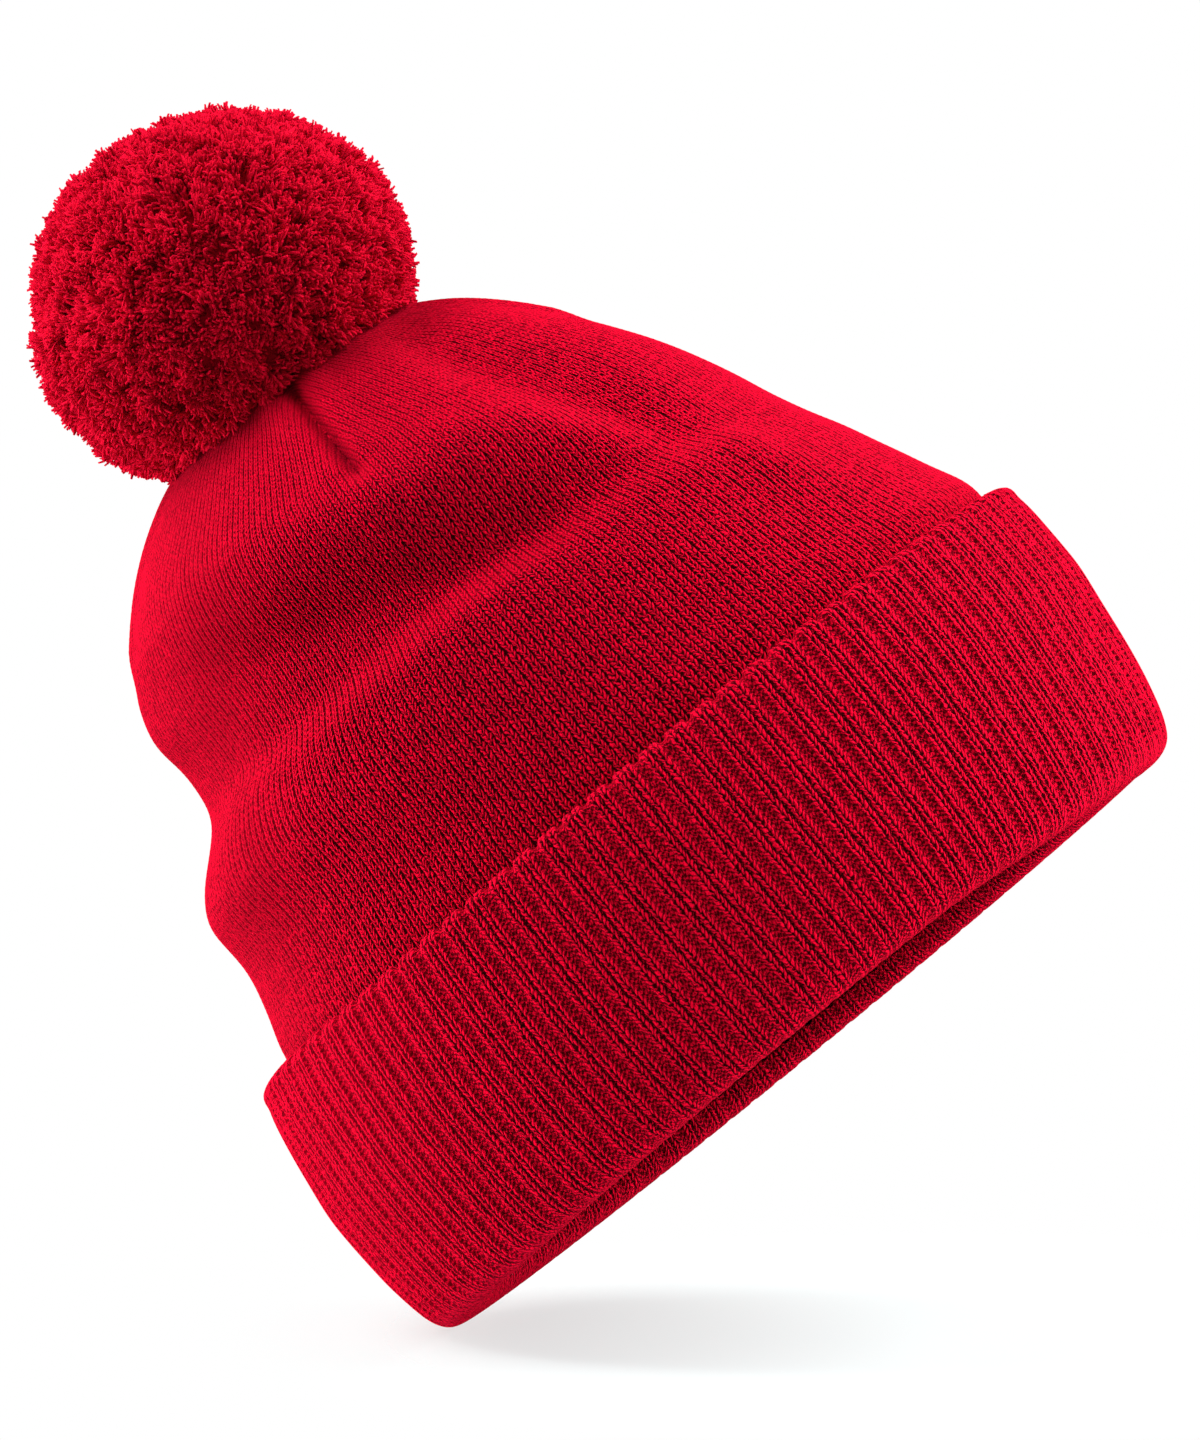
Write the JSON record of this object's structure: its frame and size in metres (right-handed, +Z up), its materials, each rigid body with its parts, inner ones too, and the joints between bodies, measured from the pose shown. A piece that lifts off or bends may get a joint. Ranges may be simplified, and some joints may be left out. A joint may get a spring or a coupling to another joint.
{
  "type": "pom pom beanie",
  "caption": "Double-layer knit beanie with a turned-up rib cuff, a darted crown and a bushy yarn pom pom tied on top.",
  "frame": {"origin": "centre of the brim opening, in the plane of the turned-up cuff's bottom fold", "axes": "+Z up along the crown to the pom pom, X along the head's long direction (the oval's long axis), -Y towards the side usually looked at"},
  "size_m": [0.2289, 0.178, 0.262],
  "materials": {
    "plain_knit": "soft plain knit, crimson",
    "rib_knit": "wide rib knit, crimson",
    "sewing_thread": "matching sewing thread",
    "tie_cord": "twisted matching yarn cord",
    "pom_yarn": "fluffy cut yarn, crimson",
    "label_ribbon": "satin ribbon, blank",
    "label_thread": "white sewing thread"
  },
  "bodies": {
    "hat_body": {"crown_outer_layer": "plain_knit", "crown_lining_layer": "plain_knit", "brim_outer_band": "rib_knit", "brim_lining_band": "rib_knit", "dart_seams_outer": "sewing_thread", "dart_seams_lining": "sewing_thread", "crown_gather_thread": "sewing_thread", "tie_anchor_knot": "tie_cord", "tie_tail_ends": "tie_cord", "label_stitches": "label_thread"},
    "cuff": {"cuff_face_band": "rib_knit", "cuff_back_band": "rib_knit", "cuff_edge_seam": "rib_knit"},
    "tie_stem": {"tie_stem": "tie_cord"},
    "pom": {"pom_tie_loop": "tie_cord", "pom_binding_cord": "tie_cord", "pom_core": "pom_yarn", "pom_pile_left": "pom_yarn", "pom_pile_right": "pom_yarn"},
    "care_label": {"care_label": "label_ribbon"}
  },
  "joints": [
    {"name": "cuff_turn_down", "type": "slide", "parent": "hat_body", "child": "cuff", "axis": [0, 0, -1], "range_m": [0, 0.06], "stiffness_N_per_m": 40},
    {"name": "pom_twist", "type": "hinge", "parent": "hat_body", "child": "tie_stem", "pos_m": [0, 0, 0.1983], "axis": [0, 0, 1], "range_deg": [-45, 45], "stiffness_Nm_per_rad": 0.02},
    {"name": "pom_flop", "type": "hinge", "parent": "tie_stem", "child": "pom", "pos_m": [0, 0, 0.1983], "axis": [0, 1, 0], "range_deg": [-12, 12], "stiffness_Nm_per_rad": 0.15},
    {"name": "label_flap", "type": "hinge", "parent": "hat_body", "child": "care_label", "pos_m": [0, 0.07268, 0.061], "axis": [-1, 0, 0], "range_deg": [0, 60], "stiffness_Nm_per_rad": 0.0003}
  ]
}
